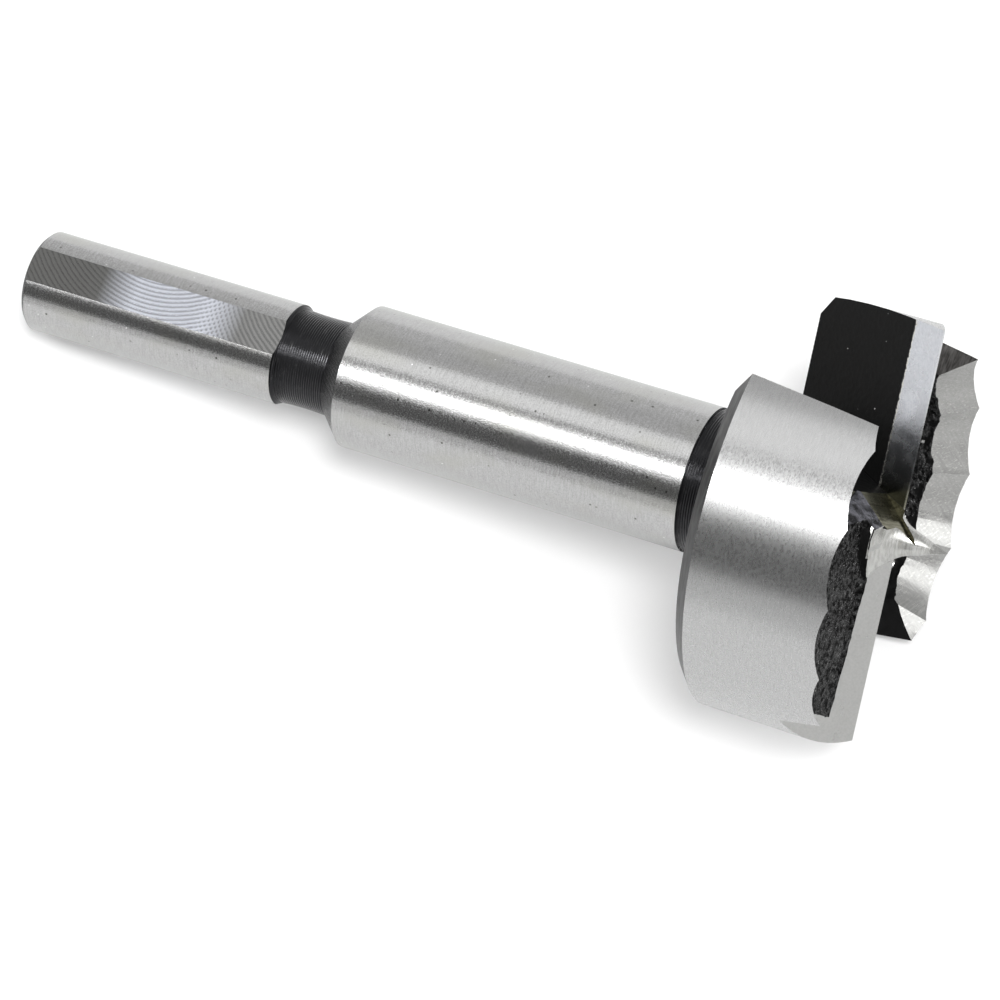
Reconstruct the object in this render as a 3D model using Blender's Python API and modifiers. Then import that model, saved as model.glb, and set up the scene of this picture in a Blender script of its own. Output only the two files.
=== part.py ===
# Forstner bit with a wave rim: one piece of tool steel, turned, forged and ground.
#
# The bit is first made standing in its own frame: the axis is Z, the shank's end is z = 0,
# the head is on top, and it cuts turning anticlockwise as seen from above. Then it is laid
# down the way it comes to rest, on the head's back rim and the end of the shank.

import math

import bmesh
import bpy
from mathutils import Matrix, Vector

MM = 0.001

# Shank: a round bar with three flats for a drill chuck
SHANK_DIAMETER = 10.0 * MM
SHANK_LENGTH = 27.2 * MM
SHANK_CHAMFER = 0.4 * MM
FLAT_DEPTH = 0.33 * MM
FLAT_COUNT = 3
FLAT_TURN = math.radians(58)

# Neck: a waisted groove, with a flare up to the body
NECK_DIAMETER = 9.1 * MM
NECK_LENGTH = 7.7 * MM
NECK_WAIST = 0.1 * MM
NECK_SHOULDER = 0.25 * MM
FLARE_LENGTH = 2.3 * MM
WAIST_STEPS = 8

# Body, and the collar between it and the head
BODY_DIAMETER = 14.0 * MM
BODY_LENGTH = 35.3 * MM
COLLAR_DIAMETER = 13.7 * MM
COLLAR_LENGTH = 5.1 * MM
COLLAR_FILLET = 0.5 * MM

# Head: a disc that is a little larger at the front, so that it doesn't bind in the bore
HEAD_DIAMETER = 40.0 * MM
HEAD_DEPTH = 14.2 * MM
HEAD_BACK_TAPER = 0.12 * MM
HEAD_CHAMFER_WIDTH = 1.55 * MM
HEAD_CHAMFER_DEPTH = 1.3 * MM
CHAMFER_RUN_ON = 0.125

# Wave rim: a bevel inside the edge, ground as a row of shallow scallops
RIM_CREST = 0.35 * MM
RIM_WAVE = 0.65 * MM
RIM_WIDTH = 2.45 * MM
RIM_BEVEL = math.radians(50)
RIM_OVERLAP = 0.4 * MM
WAVE_COUNT = 5
WAVE_STEP = math.radians(21.4)
FIRST_WAVE = math.radians(-51.5)
WAVE_PIECES = 10
LEAD_PIECES = 4

# Lifters: two chisel edges on a line through the axis
FLANK_ANGLE = math.radians(19)
FLANK_WIDTH = 12.45 * MM
HOOK_ANGLE = math.radians(27)
HOOK_DEPTH = 3.4 * MM
HOOK_STEP = 0.05 * MM
LAND_WIDTH = 3.3 * MM
LAND_SPREAD = math.radians(4.2)

# Pockets: the forged floor behind each land
POCKET_STEP = 0.45 * MM
POCKET_ANGLE = math.radians(23)
POCKET_DEPTH = 4.3 * MM

# Throats: the two chip openings, right through the head
THROAT_ANGLE = math.radians(32)
THROAT_WIDTH = 14.57 * MM
THROAT_LEAN = 0.0975
THROAT_RUN_OUT = 1.7 * MM
WEB_HALF_WIDTH = 2.85 * MM
WEB_CLEARANCE = 0.12 * MM
SHOULDER_SLOPE = Vector((1.462, 0.533, 0.944))
SHOULDER_POINT = Vector((3.55, 2.47, -3.27)) * MM
SHOULDER_DEPTH = 4.1 * MM
SHOULDER_INSET = 1.0 * MM

# Centre point: a steep tip on a low cone, and the gashes that sharpen it
TIP_HEIGHT = 4.9 * MM
TIP_ANGLE = math.radians(19.5)
TIP_FILLET = 3.0 * MM
HUB_DIAMETER = 9.7 * MM
HUB_ANGLE = math.radians(18)
HUB_DEPTH = 1.21 * MM
HUB_BAND = 0.15 * MM
GASH_CORNER = Vector((3.46, -1.13, -2.23)) * MM
GASH_FLOOR_NORMAL = Vector((0.810, 0.143, 0.569))

# Which way round the bit lies
UPPER_SIDE = math.radians(51.4)

# Roundness of the turned forms, all different so that no two have facets in line, and how
# far a cutter stands clear of what it cuts. The bar and the head have the fewest facets: the
# bit lies on one of the head's, which has to be wide enough that it doesn't roll off it.
TURNED_STEPS = 84
NECK_STEPS = 104
COLLAR_STEPS = 120
POCKET_STEPS = 96
POINT_STEPS = 72
CORE_STEPS = 64
FILLET_STEPS = 4
REACH = 6.0 * MM

neck_start = SHANK_LENGTH
body_start = neck_start + NECK_LENGTH
flare_start = body_start - FLARE_LENGTH
collar_start = body_start + BODY_LENGTH
head_back = collar_start + COLLAR_LENGTH
edge_height = head_back + HEAD_DEPTH
rim_height = edge_height + RIM_CREST
head_radius = HEAD_DIAMETER / 2
head_back_radius = head_radius - HEAD_BACK_TAPER
pocket_radius = head_radius - RIM_WIDTH
wave_inner = pocket_radius - RIM_OVERLAP
wave_outer = head_radius + REACH / 2


def clear_scene():
    for item in list(bpy.data.objects):
        bpy.data.objects.remove(item, do_unlink=True)


def new_collection(name):
    collection = bpy.data.collections.new(name)
    bpy.context.scene.collection.children.link(collection)
    return collection


def new_material(name, colour, roughness, metallic):
    material = bpy.data.materials.new(name)
    material.use_nodes = True
    shader = material.node_tree.nodes["Principled BSDF"]
    shader.inputs["Base Color"].default_value = (*colour, 1)
    shader.inputs["Roughness"].default_value = roughness
    shader.inputs["Metallic"].default_value = metallic
    material.diffuse_color = (*colour, 1)
    return material


def mesh_object(name, mesh, collection, material):
    mesh.materials.append(material)
    made = bpy.data.objects.new(name, mesh)
    collection.objects.link(made)
    return made


def hide_cutter(cutter):
    cutter.hide_render = True
    cutter.display_type = "WIRE"
    return cutter


def cutter_from(name, shape, material):
    """Turns a closed bmesh into a cutter, with its faces pointing outwards."""
    bmesh.ops.recalc_face_normals(shape, faces=shape.faces)
    mesh = bpy.data.meshes.new(name)
    shape.to_mesh(mesh)
    shape.free()
    return hide_cutter(mesh_object(name, mesh, cutters, material))


def turned(name, profile, steps, collection, material, ring=False):
    """A profile of (radius, height) points, from top to bottom, turned round the Z axis.

    A ring's profile is a loop: down its outer side, then back up its inner side. It starts
    half a facet round, so that no corner lies on the plane through the axis and the edges.
    """
    start = math.pi / steps
    points = [(r * math.cos(start), r * math.sin(start), height) for r, height in profile]
    lines = [(i, i + 1) for i in range(len(points) - 1)]
    if ring:
        lines.append((len(points) - 1, 0))
    mesh = bpy.data.meshes.new(name)
    mesh.from_pydata(points, lines, [])
    made = mesh_object(name, mesh, collection, material)
    screw = made.modifiers.new("turn", "SCREW")
    screw.steps = steps
    screw.render_steps = steps
    screw.use_merge_vertices = True
    screw.merge_threshold = 0.00001
    return made


def arc(centre, radius, start, end, steps):
    """Points (radius, height) along an arc, both ends included."""
    angles = [start + (end - start) * i / steps for i in range(steps + 1)]
    return [(centre[0] + radius * math.cos(a), centre[1] + radius * math.sin(a)) for a in angles]


def lofted(name, first, last, material):
    """A closed cutter between two outlines with the same number of points."""
    shape = bmesh.new()
    rings = [[shape.verts.new(point) for point in outline] for outline in (first, last)]
    shape.faces.new(rings[0])
    shape.faces.new(rings[1])
    count = len(first)
    for i in range(count):
        j = (i + 1) % count
        shape.faces.new((rings[0][i], rings[0][j], rings[1][j], rings[1][i]))
    return cutter_from(name, shape, material)


def planed_block(name, size, planes, material):
    """A cube cut down to the inner side of each plane, given as (point, outward normal)."""
    shape = bmesh.new()
    bmesh.ops.create_cube(shape, size=size)
    for point, normal in planes:
        everything = shape.verts[:] + shape.edges[:] + shape.faces[:]
        cut = bmesh.ops.bisect_plane(
            shape, geom=everything, plane_co=point, plane_no=normal, clear_outer=True
        )
        rim = [item for item in cut["geom_cut"] if isinstance(item, bmesh.types.BMEdge)]
        bmesh.ops.contextual_create(shape, geom=rim)
    return cutter_from(name, shape, material)


def join(target, other, operation, name):
    boolean = target.modifiers.new(name, "BOOLEAN")
    boolean.operation = operation
    boolean.solver = "EXACT"
    boolean.object = other
    boolean.material_mode = "TRANSFER"


def at_edge(turn):
    """The frame of one lifter: X along its cutting edge, and z = 0 at the edge."""
    return Matrix.Translation((0, 0, edge_height)) @ Matrix.Rotation(turn, 4, "Z")


def blank():
    """The turned bar and head, from the top of the rim down to the end of the shank."""
    shank_radius = SHANK_DIAMETER / 2
    body_radius = BODY_DIAMETER / 2
    # The chamfer runs on a little, and the relief behind the head then cuts it to length
    chamfer_foot = head_back - HEAD_CHAMFER_DEPTH * CHAMFER_RUN_ON
    chamfer_inner = head_back_radius - HEAD_CHAMFER_WIDTH * (1 + CHAMFER_RUN_ON)
    profile = [
        (0, rim_height),
        (head_radius, rim_height),
        (head_back_radius, head_back + HEAD_CHAMFER_DEPTH),
        (chamfer_inner, chamfer_foot),
        (body_radius, chamfer_foot),
        (body_radius, flare_start),
        (shank_radius, flare_start),
        (shank_radius, SHANK_CHAMFER),
        (shank_radius - SHANK_CHAMFER, 0),
        (0, 0),
    ]
    return turned("forstner_bit", profile, TURNED_STEPS, parts, steel)


def neck_relief():
    """The groove between shank and body: a short shoulder, a waist, then the flare."""
    shank_radius = SHANK_DIAMETER / 2
    body_radius = BODY_DIAMETER / 2
    first = neck_start + NECK_SHOULDER
    waist = []
    for i in range(WAIST_STEPS + 1):
        share = i / WAIST_STEPS
        radius = NECK_DIAMETER / 2 + NECK_WAIST * (2 * share - 1) ** 2
        waist.append((radius, first + share * (flare_start - first)))
    # Both slopes run on past the bar's surface, so that they meet it in a clean corner
    low = (2 * shank_radius - waist[0][0], neck_start - NECK_SHOULDER)
    high = (2 * body_radius - waist[-1][0], body_start + FLARE_LENGTH)
    profile = [(head_radius, high[1]), (head_radius, low[1]), low, *waist, high]
    return hide_cutter(turned("neck_relief", profile, NECK_STEPS, cutters, black, ring=True))


def collar_relief():
    """The groove behind the head, with a fillet into the head's back face."""
    radius = COLLAR_DIAMETER / 2
    centre = (radius + COLLAR_FILLET, head_back - COLLAR_FILLET)
    fillet = arc(centre, COLLAR_FILLET, math.radians(180), math.radians(90), FILLET_STEPS)
    outer = head_radius + REACH
    profile = [(outer, head_back), (outer, collar_start), (radius, collar_start), *fillet]
    return hide_cutter(turned("collar_relief", profile, COLLAR_STEPS, cutters, black, ring=True))


def hub_core():
    """The forged core under the centre point, which fills the web between the pockets."""
    radius = HUB_DIAMETER / 2 - HUB_BAND / 2
    top = -HUB_DEPTH - HUB_BAND / 2
    profile = [(0, top), (radius, top), (radius, -REACH), (0, -REACH)]
    made = hide_cutter(turned("hub_core", profile, CORE_STEPS, cutters, black))
    made.matrix_world = at_edge(0)
    return made


def centre_point():
    """A straight-sided tip that curves out into a low cone."""
    hub_radius = HUB_DIAMETER / 2
    # The fillet touches the tip's side and the hub's slope, both as lines in the section
    side = Vector((math.sin(TIP_ANGLE), -math.cos(TIP_ANGLE)))
    slope = Vector((math.cos(HUB_ANGLE), -math.sin(HUB_ANGLE)))
    apex = Vector((0, TIP_HEIGHT))
    hub_edge = Vector((hub_radius, -HUB_DEPTH))
    gap = hub_edge - apex
    corner = apex + side * gap.cross(slope) / side.cross(slope)
    tangent = TIP_FILLET * math.tan(side.angle(slope) / 2)
    first, last = corner - side * tangent, corner + slope * tangent
    centre = first + Vector((-side.y, side.x)) * TIP_FILLET
    start = math.atan2(first.y - centre.y, first.x - centre.x)
    end = math.atan2(last.y - centre.y, last.x - centre.x)
    curve = arc(centre, TIP_FILLET, start, end, 2 * FILLET_STEPS)
    band = -HUB_DEPTH - HUB_BAND
    profile = [(0, TIP_HEIGHT), *curve, tuple(hub_edge), (hub_radius, band), (0, band)]
    made = hide_cutter(turned("centre_point_form", profile, POINT_STEPS, cutters, steel))
    made.matrix_world = at_edge(0)
    return made


def flank_wheel(turn):
    """A square-sided wheel, tilted back from the edge: its side leaves the rim's leading end."""
    shape = bmesh.new()
    length = head_radius + REACH
    width = FLANK_WIDTH + REACH
    bmesh.ops.create_cube(shape, size=1)
    bmesh.ops.scale(shape, vec=(length, width, REACH), verts=shape.verts)
    centre = (length / 2 - WEB_HALF_WIDTH / 2, REACH - width / 2, REACH / 2)
    bmesh.ops.translate(shape, vec=centre, verts=shape.verts)
    made = cutter_from("flank_wheel", shape, steel)
    made.matrix_world = at_edge(turn) @ Matrix.Rotation(FLANK_ANGLE, 4, "X")
    return made


def pocket_form(turn):
    """The forged hollow behind a land: a low step, a ramp and a level floor."""
    front = -LAND_WIDTH * math.cos(FLANK_ANGLE)
    top = front * math.tan(FLANK_ANGLE) - POCKET_STEP
    foot = front - (POCKET_DEPTH + top) / math.tan(POCKET_ANGLE)
    far = -head_radius - REACH
    section = [(front, REACH), (front, top), (foot, -POCKET_DEPTH), (far, -POCKET_DEPTH), (far, REACH)]
    sides = [[(x, y, z) for y, z in section] for x in (-head_radius, head_radius)]
    made = lofted("pocket_form", *sides, black)
    made.matrix_world = at_edge(turn) @ Matrix.Rotation(-LAND_SPREAD, 4, "Z")
    join(made, pocket_bounds, "INTERSECT", "round_wall")
    return made


def pocket_wall():
    profile = [(0, 2 * REACH), (pocket_radius, 2 * REACH), (pocket_radius, -2 * REACH), (0, -2 * REACH)]
    made = hide_cutter(turned("pocket_wall", profile, POCKET_STEPS, cutters, black))
    made.matrix_world = at_edge(0)
    return made


def wave_height(radius, share):
    """Height of the rim at a radius, with share 0 in a wave's middle and 0.5 at its cusps."""
    slope = (head_radius - radius) * math.tan(RIM_BEVEL)
    return RIM_CREST - RIM_WAVE * (1 - (2 * share) ** 2) - slope


def wave_form(turn):
    """What the grinding of one half's waves takes away: everything above a wavy bevel."""
    rings = []
    shape = bmesh.new()
    for piece in range(-LEAD_PIECES, WAVE_COUNT * WAVE_PIECES + 1):
        number = min(max(piece // WAVE_PIECES, 0), WAVE_COUNT - 1)
        share = piece / WAVE_PIECES - number - 0.5
        angle = FIRST_WAVE + WAVE_STEP / 2 - piece / WAVE_PIECES * WAVE_STEP
        corners = [(radius, wave_height(radius, share)) for radius in (wave_inner, wave_outer)]
        corners += [(wave_outer, 2 * REACH), (wave_inner, 2 * REACH)]
        points = [(r * math.cos(angle), r * math.sin(angle), z) for r, z in corners]
        rings.append([shape.verts.new(point) for point in points])
    shape.faces.new(rings[0])
    shape.faces.new(rings[-1])
    for one, other in zip(rings, rings[1:]):
        for i in range(4):
            j = (i + 1) % 4
            shape.faces.new((one[i], one[j], other[j], other[i]))
    made = cutter_from("wave_form", shape, steel)
    made.matrix_world = at_edge(turn)
    return made


def along_lifter(name, section, inset, turn, material):
    """A cutter with a section across the lifter, from the web out through the rim."""
    web_at_back = COLLAR_DIAMETER / 2 + WEB_CLEARANCE
    lean = (web_at_back - WEB_HALF_WIDTH) / HEAD_DEPTH
    inner = [(WEB_HALF_WIDTH - inset - lean * z, y, z) for y, z in section]
    outer = [(head_radius + REACH, y, z) for y, z in section]
    made = lofted(name, inner, outer, material)
    made.matrix_world = at_edge(turn)
    return made


def hook_line(height):
    """How far forward of the edge the hooked strip's plane is, at a height from the edge."""
    return height * math.tan(HOOK_ANGLE)


def throat_form(turn):
    """A chip opening: hooked under the edge, then slanting back, with a web left at the axis."""
    bottom = -HEAD_DEPTH - THROAT_RUN_OUT
    top = 2 * REACH
    bend = -HOOK_DEPTH + 2 * HOOK_STEP
    back_foot = hook_line(bend) + HOOK_STEP + (bottom - bend) * math.tan(THROAT_ANGLE)
    section = [
        (hook_line(top) + HOOK_STEP, top),
        (hook_line(bend) + HOOK_STEP, bend),
        (back_foot, bottom),
        (THROAT_WIDTH + THROAT_LEAN * bottom, bottom),
        (THROAT_WIDTH + THROAT_LEAN * top, top),
    ]
    return along_lifter("throat_form", section, 0, turn, black)


def hook_wheel(turn):
    """The ground strip under the cutting edge, a little deeper than the forged throat."""
    top = 2 * REACH
    section = [
        (hook_line(top), top),
        (hook_line(-HOOK_DEPTH), -HOOK_DEPTH),
        (REACH / 2, -HOOK_DEPTH),
        (hook_line(top) + REACH, top),
    ]
    return along_lifter("hook_wheel", section, HOOK_STEP / 2, turn, steel)


def shoulder_form(turn):
    """The slope on which the pocket's floor falls away into the throat beside the hub."""
    planes = [
        (SHOULDER_POINT, -SHOULDER_SLOPE),
        ((0, 0, -SHOULDER_DEPTH), (0, 0, -1)),
        ((0, 0, RIM_CREST), (0, 0, 1)),
        ((0, SHOULDER_INSET, 0), (0, -1, 0)),
        ((0, THROAT_WIDTH - REACH / 2, 0), (0, 1, 0)),
        ((WEB_HALF_WIDTH + REACH, 0, 0), (1, 0, 0)),
    ]
    made = planed_block("shoulder_form", 2 * HEAD_DIAMETER, planes, black)
    made.matrix_world = at_edge(turn)
    return made


def gash_wheel(turn):
    """The ground notch that makes the inner end of the edge and one side of the centre point."""
    # Its wall carries on the hooked strip, and stands just clear of it
    wall_normal = Vector((0, math.cos(HOOK_ANGLE), -math.sin(HOOK_ANGLE)))
    wall_point = Vector((0, HOOK_STEP, 0))
    along = GASH_FLOOR_NORMAL.cross(wall_normal).normalized()
    planes = [
        (GASH_CORNER, -GASH_FLOOR_NORMAL),
        (wall_point, -wall_normal),
        (GASH_CORNER + along * 2 * REACH, along),
        (GASH_CORNER - along * REACH, -along),
        (GASH_CORNER + GASH_FLOOR_NORMAL * REACH, GASH_FLOOR_NORMAL),
        (GASH_CORNER + wall_normal * REACH, wall_normal),
    ]
    made = planed_block("gash_wheel", 2 * HEAD_DIAMETER, planes, steel)
    made.matrix_world = at_edge(turn)
    return made


def flat_cutter(number):
    """One of the chuck flats, along the whole shank."""
    shape = bmesh.new()
    bmesh.ops.create_cube(shape, size=1)
    length = SHANK_LENGTH + REACH
    bmesh.ops.scale(shape, vec=(REACH, SHANK_DIAMETER, length), verts=shape.verts)
    inner = SHANK_DIAMETER / 2 - FLAT_DEPTH
    centre = (inner + REACH / 2, 0, (SHANK_LENGTH - REACH) / 2 + FLARE_LENGTH)
    bmesh.ops.translate(shape, vec=centre, verts=shape.verts)
    made = cutter_from(f"flat_cutter_{number}", shape, steel)
    turn = FLAT_TURN + number * 2 * math.pi / FLAT_COUNT
    made.matrix_world = Matrix.Rotation(turn, 4, "Z")
    return made


def resting_turn():
    """How the bit's frame turns when it lies on the head's back rim and the shank's end."""
    flat_share = math.cos(math.pi / TURNED_STEPS)
    rise = (head_back_radius - SHANK_DIAMETER / 2) * flat_share
    run = head_back + HEAD_CHAMFER_DEPTH - SHANK_CHAMFER
    tilt = math.atan2(rise, run)
    along = Vector((math.cos(tilt), 0, math.sin(tilt)))
    upper = Vector((-math.sin(tilt), 0, math.cos(tilt)))
    # The columns say where X, Y and Z of the standing bit point, once its upper side faces up
    lying = Matrix((upper, along.cross(upper), along)).transposed().to_4x4()
    return lying @ Matrix.Rotation(-UPPER_SIDE, 4, "Z")


def lay_down(bit):
    """Parents the bit and its cutters to an empty that stands in the middle of its footprint."""
    bpy.context.view_layer.update()
    evaluated = bit.evaluated_get(bpy.context.evaluated_depsgraph_get())
    turn = resting_turn()
    points = [turn @ vertex.co for vertex in evaluated.data.vertices]
    low = [min(point[i] for point in points) for i in range(3)]
    high = [max(point[i] for point in points) for i in range(3)]
    middle = Vector(((low[0] + high[0]) / 2, (low[1] + high[1]) / 2, low[2]))
    rest = bpy.data.objects.new("resting_pose", None)
    parts.objects.link(rest)
    rest.matrix_world = Matrix.Translation(-middle) @ turn
    for item in [bit, *cutters.objects]:
        item.parent = rest


clear_scene()
parts = new_collection("forstner_bit")
cutters = new_collection("cutters")
steel = new_material("ground_steel", (0.62, 0.62, 0.60), 0.32, 1.0)
black = new_material("black_oxide", (0.02, 0.02, 0.022), 0.45, 0.6)

bit = blank()
join(bit, neck_relief(), "DIFFERENCE", "neck")
join(bit, collar_relief(), "DIFFERENCE", "collar")
for number in range(FLAT_COUNT):
    join(bit, flat_cutter(number), "DIFFERENCE", f"flat_{number}")
pocket_bounds = pocket_wall()
halves = (0, math.pi)
for side, turn in enumerate(halves):
    join(bit, flank_wheel(turn), "DIFFERENCE", f"flank_{side}")
    join(bit, pocket_form(turn), "DIFFERENCE", f"pocket_{side}")
    join(bit, wave_form(turn), "DIFFERENCE", f"waves_{side}")
join(bit, hub_core(), "UNION", "hub_core")
join(bit, centre_point(), "UNION", "centre_point")
for side, turn in enumerate(halves):
    join(bit, throat_form(turn), "DIFFERENCE", f"throat_{side}")
    join(bit, hook_wheel(turn), "DIFFERENCE", f"hook_{side}")
    join(bit, shoulder_form(turn), "DIFFERENCE", f"shoulder_{side}")
    join(bit, gash_wheel(turn), "DIFFERENCE", f"gash_{side}")
lay_down(bit)
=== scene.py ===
# %% [markdown]
# # Dressing a forstner bit
# A forstner bit bores a wide, flat-bottomed hole. This one is a single piece of tool steel:
# a round shank with three chuck flats, a waisted black neck, a ground body, and a head with
# a wavy rim, two chisel edges and a centre point.
# The solid part comes packed, and is used as a fixed frame: this script copies its mesh,
# roughens what is forged, sorts the faces by how each was finished in the factory, and gives
# every finish its own material. A copy of the solid was chosen over a fresh model because
# then no size can drift away from the part's own.

import math

import bmesh
import bpy
from mathutils import Matrix, Vector, noise


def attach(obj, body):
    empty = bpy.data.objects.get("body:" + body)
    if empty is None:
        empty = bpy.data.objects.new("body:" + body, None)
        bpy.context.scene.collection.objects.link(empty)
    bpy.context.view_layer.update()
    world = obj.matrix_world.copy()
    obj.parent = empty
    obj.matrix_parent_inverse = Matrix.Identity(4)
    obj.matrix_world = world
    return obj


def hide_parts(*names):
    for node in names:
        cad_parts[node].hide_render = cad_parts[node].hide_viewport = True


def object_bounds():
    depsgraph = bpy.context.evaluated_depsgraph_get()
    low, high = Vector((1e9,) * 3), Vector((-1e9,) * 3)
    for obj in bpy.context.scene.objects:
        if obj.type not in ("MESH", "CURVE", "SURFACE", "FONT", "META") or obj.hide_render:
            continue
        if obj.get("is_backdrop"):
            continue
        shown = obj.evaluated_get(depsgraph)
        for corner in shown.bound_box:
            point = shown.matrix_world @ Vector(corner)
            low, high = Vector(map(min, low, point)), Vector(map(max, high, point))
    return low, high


MM = 0.001
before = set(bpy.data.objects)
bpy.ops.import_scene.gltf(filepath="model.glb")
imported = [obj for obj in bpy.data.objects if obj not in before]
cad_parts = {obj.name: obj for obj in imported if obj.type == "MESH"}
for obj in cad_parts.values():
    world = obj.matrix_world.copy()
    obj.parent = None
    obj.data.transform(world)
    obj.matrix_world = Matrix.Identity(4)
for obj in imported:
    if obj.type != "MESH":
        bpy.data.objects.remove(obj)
cad_box = [list(corner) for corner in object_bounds()]
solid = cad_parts["forstner_bit"]
print("packed part:", len(solid.data.polygons), "faces, box in mm:")
for corner in cad_box:
    print("  ", [round(value / MM, 2) for value in corner])

# %% [markdown]
# ## The camera
# The picture is taken from high above the side, with a long lens, so that the far end of the
# bit is hardly smaller than the near end. The camera could be aimed with a constraint, but
# plain numbers keep the view the same for every later change to the bit.

# %% Place the camera
lens = bpy.data.cameras.new("camera")
lens.lens = 162
lens.sensor_width = 36
camera = bpy.data.objects.new("camera", lens)
camera.location = (0.0671742, -0.1497556, 0.4064455)
camera.rotation_euler = (0.3759919, 0.0050878, 0.3958754)
bpy.context.scene.collection.objects.link(camera)
bpy.context.scene.camera = camera
print("camera at", [round(value / MM) for value in camera.location], "mm")

# %% [markdown]
# ## The bit's own frame
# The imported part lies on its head's rim and on its shank's end, so its axis slopes and it is
# rolled a little. Grinding and turning marks run round or along the axis, so they are much
# easier to describe for a bit that stands upright, with its axis as Z, its shank's end at
# zero and one cutting edge along X. The mesh is therefore turned back to that frame, worked
# on there, and laid down again at the end.

# %% Stand the copy up
SHANK_END = Vector((-45.886, 0, 4.82776)) * MM
AXIS_RISE = math.radians(11.042)
UPPER_SIDE = math.radians(51.4)

along = Vector((math.cos(AXIS_RISE), 0, math.sin(AXIS_RISE)))
upper = Vector((-math.sin(AXIS_RISE), 0, math.cos(AXIS_RISE)))
lying = Matrix((upper, along.cross(upper), along)).transposed().to_4x4()
resting = Matrix.Translation(SHANK_END) @ lying @ Matrix.Rotation(-UPPER_SIDE, 4, "Z")

standing = bmesh.new()
standing.from_mesh(solid.data)
bmesh.ops.transform(standing, matrix=resting.inverted(), verts=standing.verts)
bmesh.ops.remove_doubles(standing, verts=standing.verts, dist=0.0005 * MM)
bit_mesh = bpy.data.meshes.new("forstner_bit_ground")
standing.to_mesh(bit_mesh)
standing.free()
bit_mesh.materials.clear()
bit = bpy.data.objects.new("forstner_bit_ground", bit_mesh)
bpy.context.scene.collection.objects.link(bit)
heights = [vertex.co.z / MM for vertex in bit_mesh.vertices]
print(f"standing copy: {min(heights):.2f} to {max(heights):.2f} mm along the axis")

# %% [markdown]
# ## Rough pockets
# Behind each land the forging is left as it came from the die: pitted, with a border that
# wanders where the grinding wheel stopped. The hollow could be roughened by its material
# alone, but the border would stay straight. So a rough cutter is made instead: the pocket's
# own form, turned into an even skin of small faces by a voxel remesh, pushed about by noise,
# and cut from the bit a little larger than the smooth pocket was.

# %% The pocket's form
EDGE_HEIGHT = 89.5 * MM
HEAD_RADIUS = 20 * MM
POCKET_RADIUS = 17.55 * MM
FLANK_ANGLE = math.radians(19)
LAND_WIDTH = 3.3 * MM
LAND_SPREAD = math.radians(4.2)
POCKET_STEP = 0.45 * MM
POCKET_ANGLE = math.radians(23)
POCKET_DEPTH = 4.3 * MM
HUB_RADIUS = 4.85 * MM
CLEAR = 3 * MM
SKIN = 0.24 * MM


def closed_object(name, shape):
    """Makes an object of a closed bmesh, with its faces pointing outwards."""
    bmesh.ops.recalc_face_normals(shape, faces=shape.faces)
    mesh = bpy.data.meshes.new(name)
    shape.to_mesh(mesh)
    shape.free()
    made = bpy.data.objects.new(name, mesh)
    bpy.context.scene.collection.objects.link(made)
    return made


def cylinder(name, radius, low, high):
    shape = bmesh.new()
    bmesh.ops.create_cone(
        shape, segments=180, radius1=radius, radius2=radius, depth=high - low, cap_ends=True
    )
    bmesh.ops.translate(shape, vec=(0, 0, (low + high) / 2), verts=shape.verts)
    return closed_object(name, shape)


def pocket_block():
    """The straight-sided hollow behind a land, with z = 0 at the cutting edge."""
    front = -LAND_WIDTH * math.cos(FLANK_ANGLE)
    top = front * math.tan(FLANK_ANGLE) - POCKET_STEP
    foot = front - (POCKET_DEPTH + top) / math.tan(POCKET_ANGLE)
    section = [(front, CLEAR), (front, top), (foot, -POCKET_DEPTH)]
    section += [(-HEAD_RADIUS, -POCKET_DEPTH), (-HEAD_RADIUS, CLEAR)]
    shape = bmesh.new()
    rings = [
        [shape.verts.new((x, y, z)) for y, z in section] for x in (-HEAD_RADIUS, HEAD_RADIUS)
    ]
    shape.faces.new(rings[0])
    shape.faces.new(rings[1])
    for i in range(len(section)):
        j = (i + 1) % len(section)
        shape.faces.new((rings[0][i], rings[0][j], rings[1][j], rings[1][i]))
    bmesh.ops.rotate(shape, matrix=Matrix.Rotation(-LAND_SPREAD, 3, "Z"), verts=shape.verts)
    return closed_object("pocket_block", shape)


def join(target, other, operation):
    boolean = target.modifiers.new(other.name, "BOOLEAN")
    boolean.operation = operation
    boolean.solver = "EXACT"
    boolean.object = other


def evaluated_mesh(item, name):
    bpy.context.view_layer.update()
    graph = bpy.context.evaluated_depsgraph_get()
    mesh = bpy.data.meshes.new_from_object(item.evaluated_get(graph))
    mesh.name = name
    return mesh


block = pocket_block()
wall = cylinder("pocket_wall", POCKET_RADIUS, -2 * CLEAR, 2 * CLEAR)
core = cylinder("hub_core", HUB_RADIUS, -2 * CLEAR, 2 * CLEAR)
join(block, wall, "INTERSECT")
join(block, core, "DIFFERENCE")
skin = block.modifiers.new("skin", "REMESH")
skin.mode = "VOXEL"
skin.voxel_size = SKIN
smooth_pocket = evaluated_mesh(block, "smooth_pocket")
for helper in (block, wall, core):
    bpy.data.objects.remove(helper)
print("pocket skin:", len(smooth_pocket.polygons), "faces")

# %% [markdown]
# ## How a forging is rough
# Scale and die wear leave three things: a gentle unevenness, small pits, and long ridges
# beside the land, where the metal was drawn out. Each is one call to a noise function, and
# the sum says how far a point of the skin moves outwards along its normal.

# %% Roughen the pocket
GROW = 0.05 * MM
UNEVEN = 0.11 * MM
PIT_DEPTH = 0.16 * MM
RIDGE = 0.10 * MM


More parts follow.
